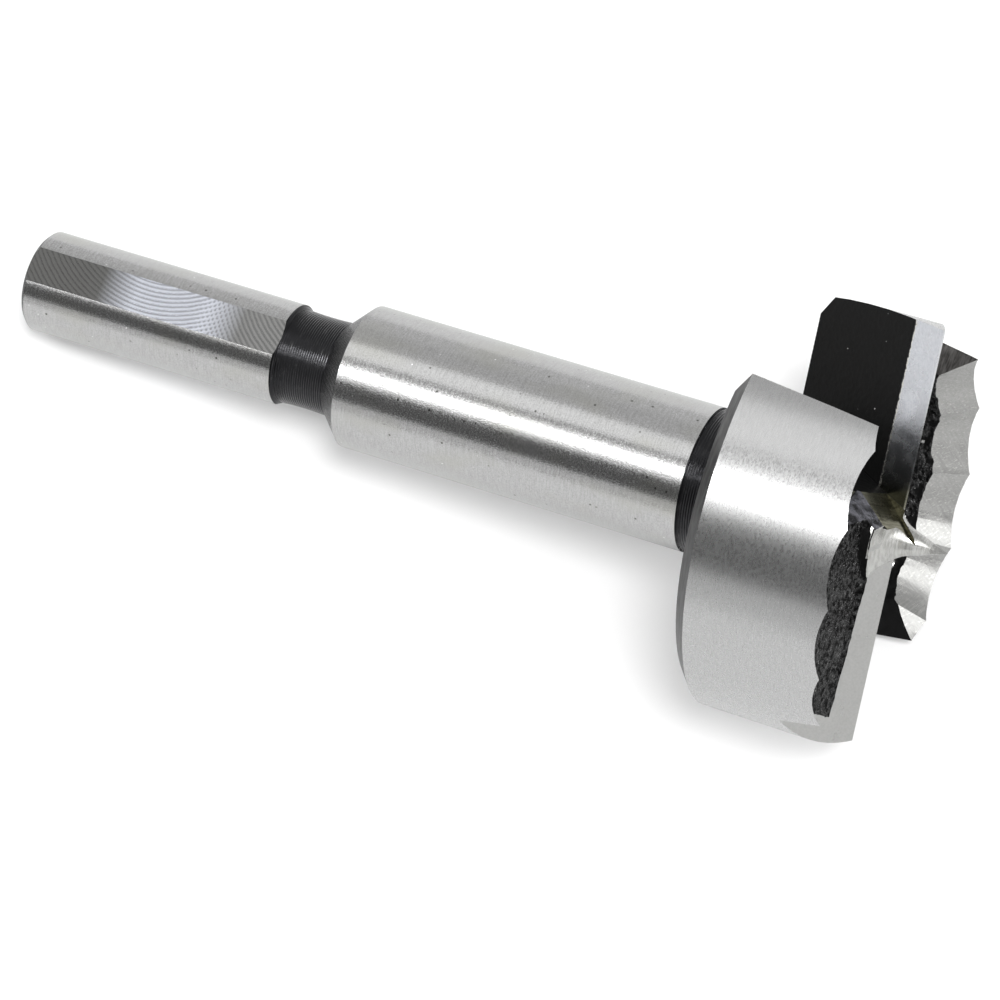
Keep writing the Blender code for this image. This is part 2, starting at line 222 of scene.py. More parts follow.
def forged_offset(point, seed):
    """How far the forging departs from the smooth form at a point, in metres."""
    place = point / MM + Vector((seed, 0, 0))
    uneven = noise.fractal(place * 0.9, 1.0, 2.0, 4)
    cells = noise.cell_vector(place * 1.3)
    distances, _ = noise.voronoi(place * Vector((1.1, 1.6, 1.1)))
    pit = max(0.0, 0.34 - distances[0]) / 0.34 * (1 if cells[0] > 0.35 else 0.2)
    ridge = noise.noise(Vector((place.x * 0.35, place.y * 2.2, place.z * 2.2)))
    return GROW + UNEVEN * uneven + PIT_DEPTH * pit + RIDGE * ridge


def rough_cutter(number):
    mesh = smooth_pocket.copy()
    mesh.name = f"rough_pocket_{number}"
    for vertex in mesh.vertices:
        vertex.co += vertex.normal * forged_offset(vertex.co, 40 * number)
    cutter = bpy.data.objects.new(mesh.name, mesh)
    turn = Matrix.Rotation(number * math.pi, 4, "Z")
    cutter.matrix_world = Matrix.Translation((0, 0, EDGE_HEIGHT)) @ turn
    bpy.context.scene.collection.objects.link(cutter)
    return cutter


cutters = [rough_cutter(number) for number in range(2)]
for cutter in cutters:
    join(bit, cutter, "DIFFERENCE")
rough_mesh = evaluated_mesh(bit, "forstner_bit_ground")
print("after the rough cut:", len(rough_mesh.polygons), "faces")

# %% [markdown]
# ## Node helpers
# Every finish below is a small node tree. A tree drawn by hand in the editor would work as
# well, but a few helpers keep each finish short enough to read: one makes a node, the others
# wrap the kinds that come back again and again.

# %% Helpers for node trees


def node(tree, kind, inputs, **settings):
    """Adds a node, sets its options, and fills or links its sockets by name or number."""
    made = tree.nodes.new(kind)
    for name, value in settings.items():
        setattr(made, name, value)
    for socket, value in inputs.items():
        if isinstance(value, bpy.types.NodeSocket):
            tree.links.new(value, made.inputs[socket])
        else:
            made.inputs[socket].default_value = value
    return made


def maths(tree, operation, *values):
    return node(tree, "ShaderNodeMath", dict(enumerate(values)), operation=operation).outputs[0]


def weigh(tree, share, first, second):
    """Adds a share of one value and the rest of another."""
    parts = (maths(tree, "MULTIPLY", first, share), maths(tree, "MULTIPLY", second, 1 - share))
    return maths(tree, "ADD", *parts)


def noise_of(tree, place, scale, stretch=(1, 1, 1), detail=3.0):
    """Soft random values from 0 to 1. The stretch is how often they change along X, Y and Z."""
    steps = node(tree, "ShaderNodeVectorMath", {0: place, 1: stretch}, operation="MULTIPLY")
    inputs = {"Vector": steps.outputs[0], "Scale": scale, "Detail": detail}
    return node(tree, "ShaderNodeTexNoise", inputs).outputs[0]


def spread(tree, value, low, high, first=0.0, last=1.0):
    """Maps values from low..high to first..last, and holds what lies outside."""
    inputs = {"Value": value, "From Min": low, "From Max": high, "To Min": first, "To Max": last}
    return node(tree, "ShaderNodeMapRange", inputs).outputs[0]


def blend(tree, share, first, second):
    """Mixes two colours."""
    made = node(tree, "ShaderNodeMix", {0: share}, data_type="RGBA")
    for socket, value in ((6, first), (7, second)):
        if isinstance(value, bpy.types.NodeSocket):
            tree.links.new(value, made.inputs[socket])
        else:
            made.inputs[socket].default_value = (*value, 1)
    return made.outputs[2]


def specks(tree, place, spacing, share, size):
    """Small spots strewn at random: about one every spacing, of which only a share is kept."""
    cells = node(tree, "ShaderNodeTexVoronoi", {"Vector": place.point, "Scale": 1 / spacing})
    lucky = node(tree, "ShaderNodeSeparateXYZ", {0: cells.outputs["Color"]}).outputs[0]
    kept = spread(tree, lucky, 1 - share, 1 - share * 0.5)
    near = spread(tree, cells.outputs["Distance"], size * 0.6, size, 1.0, 0.0)
    return maths(tree, "MULTIPLY", kept, near)


def along_axis(tree):
    """The axis as a tangent: a grain round the axis blurs reflections along it."""
    x, y, z = along
    return node(tree, "ShaderNodeCombineXYZ", {0: x, 1: y, 2: z}).outputs[0]


def relief(tree, height, depth, below=None):
    """A bump whose height of 1 stands for a depth in metres."""
    inputs = {"Height": height, "Distance": depth, "Strength": 1.0}
    if below is not None:
        inputs["Normal"] = below
    return node(tree, "ShaderNodeBump", inputs).outputs[0]


# %% [markdown]
# ## Where a point is
# Texture coordinates of the Object kind are metres in the lying bit's frame. One Mapping
# node takes them back to the upright frame, in millimetres. From there come the height along
# the axis, the angle and the distance from it, and, because the head's two halves are the same
# but for half a turn, how far out along the nearer cutting edge a point is.

# %% Start a finish


class Place:
    """The coordinates that a finish draws with, in millimetres and radians."""

    def __init__(self, tree):
        source = node(tree, "ShaderNodeTexCoord", {}).outputs["Object"]
        upright = {
            "Vector": source,
            "Location": resting.translation,
            "Rotation": resting.to_euler(),
            "Scale": (MM, MM, MM),
        }
        self.point = node(tree, "ShaderNodeMapping", upright, vector_type="TEXTURE").outputs[0]
        parts = node(tree, "ShaderNodeSeparateXYZ", {0: self.point}).outputs
        self.x, self.y, self.z = parts[0], parts[1], parts[2]
        self.angle = maths(tree, "ARCTAN2", self.y, self.x)
        squares = [maths(tree, "POWER", value, 2.0) for value in (self.x, self.y)]
        self.radius = maths(tree, "SQRT", maths(tree, "ADD", *squares))
        self.out = maths(tree, "ABSOLUTE", self.x)


def start_finish(name, colour, roughness, metallic=1.0, **constants):
    material = bpy.data.materials.new(name)
    material.use_nodes = True
    material.diffuse_color = (*colour, 1)
    tree = material.node_tree
    shader = tree.nodes["Principled BSDF"]
    shader.inputs["Base Color"].default_value = (*colour, 1)
    shader.inputs["Roughness"].default_value = roughness
    shader.inputs["Metallic"].default_value = metallic
    for socket, value in constants.items():
        shader.inputs[socket.replace("_", " ")].default_value = value
    return material, tree, shader, Place(tree)


def wire(tree, shader, **sockets):
    for socket, value in sockets.items():
        tree.links.new(value, shader.inputs[socket.replace("_", " ")])


# %% [markdown]
# ## The ground bar
# Shank and body are ground between two wheels, which leaves a fine grain round the axis, tiny
# pits, and a few spots where the wheel tore the steel, painted as white specks: painted glints.
# The grain is noise that hardly changes round the axis and changes fast along it. A brushed
# texture image would give the same, but noise has no seam and no resolution.

# %% Finish of the shank and the body


def grain_round_axis(tree, place, fine):
    return noise_of(tree, place.point, fine, (0.12, 0.12, 1.0), 2.0)


def ground_bar():
    steel = (0.53, 0.53, 0.52)
    material, tree, shader, place = start_finish("ground_bar", steel, 0.2, Anisotropic=0.3)
    grain = grain_round_axis(tree, place, 7.0)
    sand = noise_of(tree, place.point, 7.0, (1, 1, 1), 2.0)
    cloud = noise_of(tree, place.point, 0.35, (1, 1, 0.5), 2.0)
    both = weigh(tree, 0.4, grain, sand)
    tone = blend(tree, spread(tree, both, 0.36, 0.64), (0.45, 0.45, 0.445), (0.60, 0.60, 0.60))
    warm = blend(tree, spread(tree, cloud, 0.5, 0.75, 0.0, 0.5), tone, (0.50, 0.50, 0.46))
    pitted = blend(tree, specks(tree, place, 0.9, 0.3, 0.16), warm, (0.16, 0.16, 0.15))
    # Painted glints: a few white specks on the torn spots.
    torn_and_glints = blend(tree, specks(tree, place, 0.7, 0.12, 0.14), pitted, (0.95, 0.95, 0.95))
    rough = spread(tree, sand, 0.3, 0.7, 0.15, 0.26)
    marks = relief(tree, grain, 0.003 * MM)
    wire(
        tree,
        shader,
        Base_Color=torn_and_glints,
        Roughness=rough,
        Normal=relief(tree, sand, 0.007 * MM, marks),
        Tangent=along_axis(tree),
    )
    return material


# %% [markdown]
# ## The milled flats
# Each chuck flat is milled with a face cutter whose teeth leave wide arcs, and a second pass
# crosses the first near the neck. The arcs are rings about a point beside the flat: the
# distance from that point goes through a sine. All three flats share one recipe, because the
# angle round the axis is first folded into a third of a turn.

# %% Finish of the chuck flats
FLAT_TURN = math.radians(58)
ARC_CENTRE = (-11.6, 12.8)
CROSS_CENTRE = (-9.0, 33.0)
ARC_PITCH = 0.44
FLAT_SPAN = (6.0, 25.0)
CROSSED_SPAN = (18.0, 23.0)


def rings_about(tree, across, height, centre, pitch):
    """Waves in rings about a point of the flat, from -1 to 1."""
    sideways = maths(tree, "POWER", maths(tree, "SUBTRACT", across, centre[0]), 2.0)
    lengthways = maths(tree, "POWER", maths(tree, "SUBTRACT", height, centre[1]), 2.0)
    distance = maths(tree, "SQRT", maths(tree, "ADD", sideways, lengthways))
    return maths(tree, "SINE", maths(tree, "MULTIPLY", distance, 2 * math.pi / pitch))


def milled_flat():
    steel = (0.40, 0.40, 0.38)
    material, tree, shader, place = start_finish("milled_flat", steel, 0.22)
    third = 2 * math.pi / 3
    turned = maths(tree, "SUBTRACT", place.angle, FLAT_TURN - third / 2 - 2 * third)
    folded = maths(tree, "SUBTRACT", maths(tree, "MODULO", turned, third), third / 2)
    across = maths(tree, "MULTIPLY", maths(tree, "SINE", folded), place.radius)
    wobble = maths(tree, "MULTIPLY", noise_of(tree, place.point, 1.2, (1, 1, 1), 3.0), 0.25)
    height = maths(tree, "ADD", place.z, wobble)
    arcs = rings_about(tree, across, height, ARC_CENTRE, ARC_PITCH)
    crossing = rings_about(tree, across, height, CROSS_CENTRE, ARC_PITCH)
    second = spread(tree, place.z, *CROSSED_SPAN)
    both = node(tree, "ShaderNodeMix", {0: second, 2: arcs, 3: crossing}).outputs[0]
    # Painted reflection and painted shade: the middle of each flat is painted bright and bluish,
    # and its ends darker, darkest at the shank's end.
    off_middle = maths(tree, "ABSOLUTE", spread(tree, place.z, *FLAT_SPAN, -1.0, 1.0))
    middle = maths(tree, "SUBTRACT", 1.0, off_middle)
    ends = blend(tree, spread(tree, place.z, *FLAT_SPAN), (0.13, 0.13, 0.125), (0.25, 0.25, 0.245))
    painted_reflection_tone = blend(tree, spread(tree, middle, 0.2, 0.6), ends, (0.60, 0.62, 0.68))
    groove = blend(tree, spread(tree, both, -1.0, -0.2, 0.55, 0.0), painted_reflection_tone, (0.12, 0.12, 0.12))
    fine = noise_of(tree, place.point, 5.0, (1, 1, 1), 5.0)
    scratches = relief(tree, fine, 0.006 * MM)
    wire(tree, shader, Base_Color=groove, Normal=relief(tree, both, 0.010 * MM, scratches))
    return material


# %% [markdown]
# ## Black oxide
# The neck, the collar and the head's back are turned, then blackened in a bath of hot salts.
# The black skin is thin and follows every groove of the lathe, so a lamp draws a ladder of
# short bright bars on it. A plain black paint would give one smooth streak instead.

# %% Finishes of the neck, the collar and the head's back
LATHE_PITCH = 0.24
FLARE_RADII = (4.9, 6.9)
NECK_TOP = 40.0


def black_turned():
    material, tree, shader, place = start_finish(
        "black_turned", (0.05, 0.05, 0.053), 0.22, metallic=0.8, Specular_IOR_Level=0.5
    )
    lathe = maths(tree, "SINE", maths(tree, "MULTIPLY", place.z, 2 * math.pi / LATHE_PITCH))
    grain = grain_round_axis(tree, place, 9.0)
    on_neck = spread(tree, place.z, NECK_TOP, NECK_TOP - 1)
    flare = maths(tree, "MULTIPLY", spread(tree, place.radius, *FLARE_RADII), on_neck)
    tone = blend(tree, flare, (0.022, 0.022, 0.024), (0.12, 0.12, 0.12))
    worn = blend(tree, spread(tree, grain, 0.6, 0.8), tone, (0.07, 0.07, 0.07))
    rough = spread(tree, grain, 0.3, 0.7, 0.12, 0.24)
    grooves = relief(tree, grain, 0.01 * MM, relief(tree, lathe, 0.02 * MM))
    wire(tree, shader, Base_Color=worn, Roughness=rough, Normal=grooves)
    return material


def dark_chamfer():
    """The head's back chamfer, turned after blackening and so half bare."""
    material, tree, shader, place = start_finish("dark_chamfer", (0.10, 0.10, 0.10), 0.35)
    grain = grain_round_axis(tree, place, 5.0)
    tone = blend(tree, spread(tree, grain, 0.35, 0.7), (0.045, 0.045, 0.045), (0.11, 0.11, 0.11))
    wire(tree, shader, Base_Color=tone, Normal=relief(tree, grain, 0.006 * MM))
    return material


# %% [markdown]
# ## The ground head
# The outside of the head is ground finer than the bar. It is satin: the bright band and the
# dark one beside it melt into each other, with a silky grain that follows the rim.

# %% Finish of the head's outside


def ground_head():
    steel = (0.53, 0.53, 0.53)
    material, tree, shader, place = start_finish("ground_head", steel, 0.27, Anisotropic=0.5)
    grain = grain_round_axis(tree, place, 9.0)
    sand = noise_of(tree, place.point, 7.0, (0.5, 0.5, 1), 2.0)
    tone = blend(tree, spread(tree, grain, 0.3, 0.7), (0.50, 0.50, 0.50), (0.56, 0.56, 0.56))
    rough = spread(tree, sand, 0.3, 0.7, 0.24, 0.32)
    wire(
        tree,
        shader,
        Base_Color=tone,
        Roughness=rough,
        Normal=relief(tree, grain, 0.002 * MM, relief(tree, sand, 0.0025 * MM)),
        Tangent=along_axis(tree),
    )
    return material


# %% [markdown]
# ## Forged steel under black oxide
# The pockets and the throats were never ground. Their black skin is uneven: shiny where the
# die pressed it flat, dull and grey in the hollows, with long pits and a scatter of tiny
# bright specks, painted glints on chipped skin. Three noises of different size, mixed with a
# threshold for the chips, draw it, and the two finer ones also say how much the skin shines.

# %% Finishes of the forged places


def forged_black():
    material, tree, shader, place = start_finish(
        "forged_black", (0.02, 0.02, 0.02), 0.3, metallic=0.0, Specular_IOR_Level=0.35
    )
    patches = noise_of(tree, place.point, 0.55, (1, 1, 1), 4.0)
    pits = noise_of(tree, place.point, 1.9, (1.0, 1.6, 1.3), 5.0)
    fine = noise_of(tree, place.point, 6.0, (1, 1, 1), 5.0)
    patchy = spread(tree, patches, 0.35, 0.65)
    grey = blend(tree, patchy, (0.006, 0.006, 0.006), (0.035, 0.035, 0.035))
    dark = blend(tree, spread(tree, pits, 0.42, 0.5, 1.0, 0.0), grey, (0.002, 0.002, 0.002))
    # Painted glints: tiny bright specks on the chipped skin.
    tone = blend(tree, specks(tree, place, 0.3, 0.08, 0.2), dark, (0.35, 0.35, 0.34))
    rough = spread(tree, pits, 0.3, 0.7, 0.3, 0.12)
    shine = maths(tree, "MULTIPLY", spread(tree, fine, 0.4, 0.62), spread(tree, pits, 0.36, 0.6))
    bumps = relief(tree, pits, 0.6 * MM)
    wire(
        tree,
        shader,
        Base_Color=tone,
        Roughness=rough,
        Specular_IOR_Level=spread(tree, shine, 0.0, 1.0, 0.06, 1.0),
        Normal=relief(tree, fine, 0.06 * MM, bumps),
    )
    return material


def shoulder_black():
    """The shoulder beside the hub: pressed smooth by the die, so its black skin is glossy."""
    material, tree, shader, place = start_finish(
        "shoulder_black", (0.05, 0.05, 0.055), 0.16, metallic=0.7, Specular_IOR_Level=0.7
    )
    lumps = noise_of(tree, place.point, 1.1, (1, 1, 1), 4.0)
    fine = noise_of(tree, place.point, 4.0, (1, 1, 1), 3.0)
    tone = blend(tree, spread(tree, lumps, 0.4, 0.6), (0.02, 0.02, 0.022), (0.16, 0.16, 0.18))
    bumps = relief(tree, lumps, 0.35 * MM)
    wire(tree, shader, Base_Color=tone, Normal=relief(tree, fine, 0.05 * MM, bumps))
    return material


def throat_black():
    material, tree, shader, place = start_finish(
        "throat_black", (0.006, 0.006, 0.006), 0.38, metallic=0.0, Specular_IOR_Level=0.1
    )
    skin = noise_of(tree, place.point, 2.2, (1, 1, 1), 5.0)
    # Painted glints: tiny bright specks on the chipped black skin.
    tone = blend(tree, specks(tree, place, 0.8, 0.15, 0.09), (0.006, 0.006, 0.006), (0.5, 0.5, 0.5))
    rough = spread(tree, skin, 0.3, 0.7, 0.28, 0.5)
    wire(tree, shader, Base_Color=tone, Roughness=rough, Normal=relief(tree, skin, 0.03 * MM))
    return material


# %% [markdown]
# ## Ground faces of the head
# The wheel that grinds a face leaves straight lines across it, so every ground face is noise
# stretched along one direction. What differs is the direction, the colour and how worn the
# face is. One function takes them as arguments. Separate node trees would look the same but
# would repeat the same six nodes five times.

# %% Finishes of the ground faces
EDGE_Z = EDGE_HEIGHT / MM
BROWN_SPAN = (18.3, 19.9)
OLIVE_SPAN = (4.0, 9.0)
STRIP_FOOT = -3.5


def brushed(tree, place, direction, fine=5.0, ratio=0.06):
    """Noise drawn out along a direction, for the lines that a grinding wheel leaves."""
    way = Vector(direction).normalized()
    mapping = node(tree, "ShaderNodeMapping", {"Vector": place.point}, vector_type="TEXTURE")
    turn = Vector((1, 0, 0)).rotation_difference(way).to_euler()
    mapping.inputs["Rotation"].default_value = turn
    return noise_of(tree, mapping.outputs[0], fine, (ratio, 1, 1), 3.0)


def ground_face(name, light, dark, roughness, direction, depth=0.004):
    material, tree, shader, place = start_finish(name, light, roughness)
    lines = brushed(tree, place, direction)
    cloud = noise_of(tree, place.point, 0.6, (1, 1, 1), 4.0)
    tone = blend(tree, spread(tree, weigh(tree, 0.65, lines, cloud), 0.36, 0.64), dark, light)
    rough = spread(tree, cloud, 0.3, 0.7, roughness - 0.07, roughness + 0.07)
    wire(tree, shader, Base_Color=tone, Roughness=rough, Normal=relief(tree, lines, depth * MM))
    return material, tree, shader, place, tone


def ground_land():
    light, dark = (0.48, 0.48, 0.47), (0.42, 0.42, 0.41)
    return ground_face("ground_land", light, dark, 0.34, (0.25, 1, 0.3))[0]


def ground_rim():
    light, dark = (0.43, 0.43, 0.42), (0.36, 0.36, 0.35)
    material, tree, shader, place, tone = ground_face(
        "ground_rim", light, dark, 0.22, (1, 0.6, -0.7), 0.003
    )
    across = brushed(tree, place, (0.5, -1, 0.4), 7.0)
    fine = blend(tree, spread(tree, across, 0.55, 0.7), tone, (0.52, 0.52, 0.50))
    wire(tree, shader, Base_Color=fine)
    return material


def ground_point():
    material, tree, shader, place = start_finish("ground_point", (0.52, 0.52, 0.50), 0.25)
    wheel = noise_of(tree, place.point, 7.0, (0.15, 0.15, 1.0), 3.0)
    cloud = noise_of(tree, place.point, 0.9, (1, 1, 1), 4.0)
    tone = blend(tree, spread(tree, wheel, 0.35, 0.65), (0.43, 0.43, 0.41), (0.60, 0.60, 0.58))
    worn = blend(tree, spread(tree, cloud, 0.6, 0.8), tone, (0.38, 0.37, 0.33))
    wire(tree, shader, Base_Color=worn, Normal=relief(tree, wheel, 0.006 * MM))
    return material


def burnt_end():
    """The rim's leading end: ground fast, so the steel ran dark and straw brown at its tip."""
    light, dark = (0.17, 0.165, 0.16), (0.055, 0.052, 0.05)
    material, tree, shader, place, tone = ground_face(
        "burnt_end", light, dark, 0.35, (1, 0.1, 0.2), 0.006
    )
    tip = spread(tree, place.out, *BROWN_SPAN)
    wire(tree, shader, Base_Color=blend(tree, tip, tone, (0.45, 0.22, 0.08)))
    return material


def ground_strip():
    """The hooked strip under the edge: bright and bluish outside, olive near the hub, with painted
    highlights along the cutting edge and along the foot of the black skin.
    """
    light, dark = (0.78, 0.79, 0.83), (0.66, 0.68, 0.72)
    material, tree, shader, place, tone = ground_face(
        "ground_strip", light, dark, 0.26, (1, 0.5, -0.8), 0.006
    )
    tone = blend(tree, spread(tree, place.out, *OLIVE_SPAN), (0.10, 0.10, 0.08), tone)
    down = maths(tree, "SUBTRACT", place.z, EDGE_Z)
    wander = maths(tree, "MULTIPLY", noise_of(tree, place.point, 2.4, (1, 1, 1), 5.0), 0.5)
    height = maths(tree, "SUBTRACT", down, wander)
    bare = spread(tree, height, STRIP_FOOT - 0.06, STRIP_FOOT)
    # Painted highlight: a thin cream line where the strip meets its black skin.
    above = spread(tree, height, STRIP_FOOT, STRIP_FOOT + 0.1, 1.0, 0.0)
    highlight_line = maths(tree, "MULTIPLY", bare, above)
    highlit_tone = blend(tree, highlight_line, tone, (0.85, 0.83, 0.76))
    skinned = blend(tree, bare, (0.012, 0.012, 0.012), highlit_tone)
    # Painted highlight: the steel is painted near white in the last 0.22 mm below the cutting edge.
    edge = spread(tree, down, -0.22, -0.1)
    wire(tree, shader, Base_Color=blend(tree, edge, skinned, (0.85, 0.86, 0.88)), Metallic=bare)
    return material


def ground_gash():
    light, dark = (0.30, 0.29, 0.22), (0.13, 0.125, 0.09)
    return ground_face("ground_gash", light, dark, 0.25, (0.3, 1, -0.5), 0.006)[0]


finishes = [
    ground_bar(),
    milled_flat(),
    black_turned(),
    dark_chamfer(),
    ground_head(),
    forged_black(),
    shoulder_black(),
    throat_black(),
    ground_land(),
    ground_rim(),
    ground_point(),
    burnt_end(),
    ground_strip(),
    ground_gash(),
]
print("finishes:", ", ".join(material.name for material in finishes))

# %% [markdown]
# ## Which face gets which finish
# The copied mesh has no names for its faces, but where a face is and which way it looks says
# which tool made it. The test works in the upright frame. On the head it first swings the
# face into the first half, because both halves are alike. Painting the faces by hand would
# need doing again after every change to the part, and this doesn't.

# %% Sort the faces
SHANK_TOP = 27.2
BODY_FOOT = 34.9
BODY_TOP = 70.2
HEAD_BACK = 75.3
CHAMFER_TOP = 76.6
SHANK_RADIUS = 5.0
HOOK_ANGLE = math.radians(27)
POCKET_FRONT = -2.8
POCKET_SIDE = -2.8
POCKET_FLOOR = EDGE_Z - 5
HUB_SKIN = 4.9
WALL_SKIN = 17.65
RIM_SKIN = 17.0
CHAMFER_SKIN = 18.0
HEAD_SKIN = 19.6
STRIP_START = 4.4
GASH_LOWEST = -2.3
POINT_LOWEST = -1.5
SHOULDER_REACH = 9.0
SAME_WAY = 0.999
GASH_FLOOR = Vector((0.810, 0.143, 0.569)).normalized()
SHOULDER = Vector((1.462, 0.533, 0.944)).normalized()
flank_floor = Vector((0, -math.sin(FLANK_ANGLE), math.cos(FLANK_ANGLE)))
flank_side = Vector((0, math.cos(FLANK_ANGLE), math.sin(FLANK_ANGLE)))
hook_wall = Vector((0, math.cos(HOOK_ANGLE), -math.sin(HOOK_ANGLE)))


def bar_finish(centre, normal):
    if normal.z < -0.5:
        return "black_turned"
    if centre.z < SHANK_TOP:
        flat = normal.xy.dot(centre.xy) < 0.96 * SHANK_RADIUS
        return "milled_flat" if flat else "ground_bar"
    turned_black = centre.z < BODY_FOOT or centre.z > BODY_TOP
    return "black_turned" if turned_black else "ground_bar"


def in_pocket(centre, radius):
    """Whether a place lies in one of the forged hollows: behind a land and inside the rim."""
    for half in (1, -1):
        x, y = centre.x * half, centre.y * half
        behind = x * math.sin(LAND_SPREAD) + y * math.cos(LAND_SPREAD)
        if behind < POCKET_FRONT and x > POCKET_SIDE:
            return HUB_SKIN < radius < WALL_SKIN and centre.z > POCKET_FLOOR
    return False


def head_finish(centre, normal, radius):
    outwards = normal.xy.dot(centre.xy) / max(radius, 0.001)
    if radius > HEAD_SKIN and outwards > 0.9:
        return "ground_head"
    if normal.z < -0.3 and centre.z < CHAMFER_TOP + 0.1 and outwards > -0.1:
        return "dark_chamfer" if radius > CHAMFER_SKIN else "black_turned"
    side = 1 if centre.x > 0 else -1
    way = Vector((normal.x * side, normal.y * side, normal.z))
    place = Vector((abs(centre.x), centre.y * side, centre.z - EDGE_Z))
    if way.dot(flank_floor) > SAME_WAY and abs(place.dot(flank_floor)) < 0.02:
        return "ground_land"
    if way.dot(SHOULDER) > 0.99 and radius < SHOULDER_REACH:
        return "shoulder_black"
    if in_pocket(centre, radius):
        return "forged_black"
    if way.dot(hook_wall) > SAME_WAY and abs(place.dot(hook_wall)) < 0.06:
        deep = place.dot(hook_wall) > 0.03
        by_hub = place.x < STRIP_START and place.z > GASH_LOWEST
        return "ground_gash" if deep or by_hub else "ground_strip"
    if way.dot(flank_floor) > SAME_WAY:
        return "ground_land"
    if way.dot(flank_side) > SAME_WAY:
        return "burnt_end"
    if way.dot(GASH_FLOOR) > SAME_WAY:
        return "ground_gash"
    if radius > RIM_SKIN and normal.z > 0.3:
        return "ground_rim"
    if radius < HUB_SKIN and place.z > POINT_LOWEST:
        return "ground_point" if normal.z > 0.2 else "throat_black"
    return "throat_black"


slots = {material.name: number for number, material in enumerate(finishes)}
names = []
for face in rough_mesh.polygons:
    centre = face.center / MM
    radius = centre.xy.length
    if centre.z > HEAD_BACK - 0.1:
        names.append(head_finish(centre, face.normal, radius))
    else:
        names.append(bar_finish(centre, face.normal))
rough_mesh.materials.clear()
for material in finishes:
    rough_mesh.materials.append(material)
rough_mesh.polygons.foreach_set("material_index", [slots[name] for name in names])
for material in finishes:
    print(f"  {material.name}: {names.count(material.name)} faces")

# %% [markdown]
# ## Smooth turned faces
# The turned forms are built of flat facets. Smooth shading hides them, but near a chamfer or
# a flat it would also bend the light where the real surface is straight. So the exact
# directions are given to the mesh: on a turned face, every corner's normal points straight
# out from the axis, with the lean that the face itself has.

# %% Set the normals
TURNED = {"ground_bar", "ground_head", "black_turned", "dark_chamfer", "ground_point"}
CREASE = math.radians(17)
ROUGH_CREASE = math.radians(60)


def smooth_edges(mesh):
    shape = bmesh.new()
    shape.from_mesh(mesh)
    rough = slots["forged_black"]
    for face in shape.faces:
        face.smooth = True
    for edge in shape.edges:
        both_rough = all(face.material_index == rough for face in edge.link_faces)
        limit = ROUGH_CREASE if both_rough else CREASE
        edge.smooth = len(edge.link_faces) == 2 and edge.calc_face_angle(0) < limit
    shape.to_mesh(mesh)
    shape.free()


def round_normals(mesh):
    directions = [(0, 0, 0)] * len(mesh.loops)
    for face, name in zip(mesh.polygons, names):
        if name not in TURNED or abs(face.normal.z) > 0.99:
            continue
        lean = math.sqrt(1 - face.normal.z**2)
        for loop in face.loop_indices:
            out = mesh.vertices[mesh.loops[loop].vertex_index].co.xy
            if out.length < 0.02 * MM:
                continue
            out = out.normalized() * lean
            directions[loop] = (out.x, out.y, face.normal.z)
    mesh.normals_split_custom_set(directions)


smooth_edges(rough_mesh)
round_normals(rough_mesh)
bit.modifiers.clear()
bit.data = rough_mesh
for cutter in cutters:
    bpy.data.objects.remove(cutter)
bit.data.transform(resting)
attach(bit, "root")
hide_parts("forstner_bit")
print("the bit lies down:", [round(value / MM, 2) for value in bit.dimensions])

# %% [markdown]
# ## Floor
# The bit lies on a plain white floor. Seen by the camera the floor glows a little by itself,
# so that only the deepest part of the soft shadow shows, as on the photographer's table. The
# steel sees a slightly darker floor without the glow, which keeps its lower edges as grey as
# they are in the photograph.

# %% Lay the floor
FLOOR_SIZE = 6.0
FLOOR_WHITE = 0.72
FLOOR_WHITE_IN_STEEL = 0.62
FLOOR_GLOW = 0.15


def floor_finish():
    material = bpy.data.materials.new("floor_white")
    material.use_nodes = True
    tree = material.node_tree
    tree.nodes.clear()
    paper = node(tree, "ShaderNodeBsdfDiffuse", {"Color": (FLOOR_WHITE,) * 3 + (1,)})
    dimmer = node(tree, "ShaderNodeBsdfDiffuse", {"Color": (FLOOR_WHITE_IN_STEEL,) * 3 + (1,)})
    glow = node(tree, "ShaderNodeEmission", {"Color": (1, 1, 1, 1), "Strength": FLOOR_GLOW})
    lit = node(tree, "ShaderNodeAddShader", {0: paper.outputs[0], 1: glow.outputs[0]})
    seen = node(tree, "ShaderNodeLightPath", {}).outputs["Is Camera Ray"]
    mixed = node(tree, "ShaderNodeMixShader", {0: seen, 1: dimmer.outputs[0], 2: lit.outputs[0]})
    node(tree, "ShaderNodeOutputMaterial", {"Surface": mixed.outputs[0]})
    return material


bpy.ops.mesh.primitive_plane_add(size=FLOOR_SIZE)
floor = bpy.context.object
floor.name = "floor"
floor.data.materials.append(floor_finish())
floor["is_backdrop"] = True

# %% [markdown]
# ## Light all round
# Polished steel shows what stands round it, so the light is the larger half of the picture.
# Long softboxes hang parallel to the bit, with dark gaps between them: each gives one band
# along the shank, the body and the head alike. The bands are drawn in the world by the angle
# round the bit's axis. Area lamps would do the same, but nearer, and their bands would shift
# from the thin shank to the wide head.

# %% Hang the softboxes
TOWARDS_CAMERA = Vector((-0.1786, -0.3618, 0.9151))
DOWN_THE_PICTURE = Vector((0.0693, -0.9324, -0.3551))
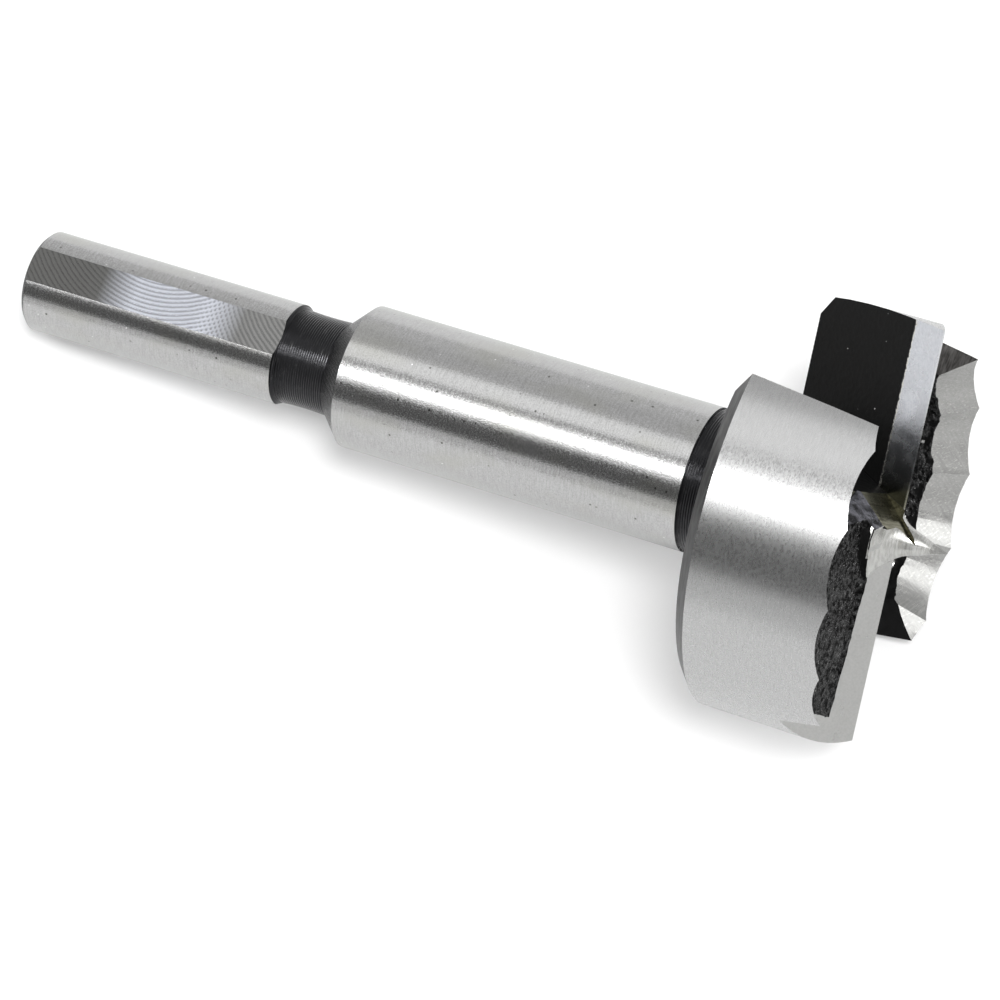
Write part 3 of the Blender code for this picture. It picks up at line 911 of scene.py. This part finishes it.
# Each band is where it ends, in degrees round the axis from the camera's side, and how bright
# it is up to there. Each zone is where it ends along the axis, from -1 behind the shank to 1
# in front of the head, and its bands
BACK = [(180, 0.6)]
SIDES = [(-81, 0.7), (-48, 0.6), (-22, 1.2), (-13, 0.35), (-2, 1.0)]
SIDES += [(3.2, 14), (16, 1.0), (48, 0.1), (180, 0.7)]
MIDDLE = [(180, 0.55)]
FRONT = [(-95, 0.9), (-50, 0.6), (5, 2.4), (22, 0.35), (48, 1.0), (180, 0.9)]
ZONES = [(-0.65, BACK), (0.0, SIDES), (0.55, MIDDLE), (1.0, FRONT)]
SOFT_EDGE = 1.5
ZONE_EDGE = 0.06
KEY_FROM = Vector((0.15, -0.17, 0.97))
KEY_SIZE = math.radians(16)
KEY_POWER = 1.9


def banded(tree, angle, bands):
    """Brightness that steps from band to band as the angle grows, with soft edges."""
    light = maths(tree, "ADD", 0.0, bands[0][1])
    for (end, strength), (_, following) in zip(bands, bands[1:]):
        change = spread(tree, angle, end - SOFT_EDGE, end + SOFT_EDGE, 0.0, following - strength)
        light = maths(tree, "ADD", change, light)
    return light


def share_along(tree, direction, axis):
    """How far a direction points along an axis, from -1 to 1."""
    inputs = {0: direction, 1: axis}
    return node(tree, "ShaderNodeVectorMath", inputs, operation="DOT_PRODUCT").outputs["Value"]


def hang_softboxes():
    world = bpy.data.worlds.new("softboxes")
    bpy.context.scene.world = world
    world.use_nodes = True
    tree = world.node_tree
    tree.nodes.clear()
    direction = node(tree, "ShaderNodeTexCoord", {}).outputs["Generated"]
    towards = share_along(tree, direction, TOWARDS_CAMERA)
    down = share_along(tree, direction, DOWN_THE_PICTURE)
    angle = maths(tree, "DEGREES", maths(tree, "ARCTAN2", down, towards))
    forwards = share_along(tree, direction, along)
    light = banded(tree, angle, ZONES[0][1])
    for (end, _), (_, bands) in zip(ZONES, ZONES[1:]):
        passed = spread(tree, forwards, end - ZONE_EDGE, end + ZONE_EDGE)
        both = {0: passed, 2: light, 3: banded(tree, angle, bands)}
        light = node(tree, "ShaderNodeMix", both).outputs[0]
    glow = node(tree, "ShaderNodeBackground", {"Color": (1, 1, 1, 1), "Strength": light})
    white = node(tree, "ShaderNodeBackground", {"Color": (1, 1, 1, 1), "Strength": 1.0})
    seen = node(tree, "ShaderNodeLightPath", {}).outputs["Is Camera Ray"]
    mixed = node(tree, "ShaderNodeMixShader", {0: seen, 1: glow.outputs[0], 2: white.outputs[0]})
    node(tree, "ShaderNodeOutputWorld", {"Surface": mixed.outputs[0]})


def hang_key_lamp():
    """One soft lamp high beside the camera: it draws the short shadow below the bit."""
    lamp = bpy.data.lights.new("key", "SUN")
    lamp.energy = KEY_POWER
    lamp.angle = KEY_SIZE
    key = bpy.data.objects.new("key", lamp)
    key.rotation_euler = KEY_FROM.to_track_quat("Z", "Y").to_euler()
    bpy.context.scene.collection.objects.link(key)


hang_softboxes()
hang_key_lamp()
bpy.context.scene.view_settings.view_transform = "Standard"

# %% [markdown]
# ## Measure
# The box of the imported part and the box of the dressed bit are printed one after the other.
# The dressed bit may not be larger than the imported part.

# %% Print the sizes
sizes = {"cad": cad_box, "visual": [list(corner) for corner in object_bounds()]}
for name, corners in sizes.items():
    print(name, [[round(value / MM, 2) for value in corner] for corner in corners])
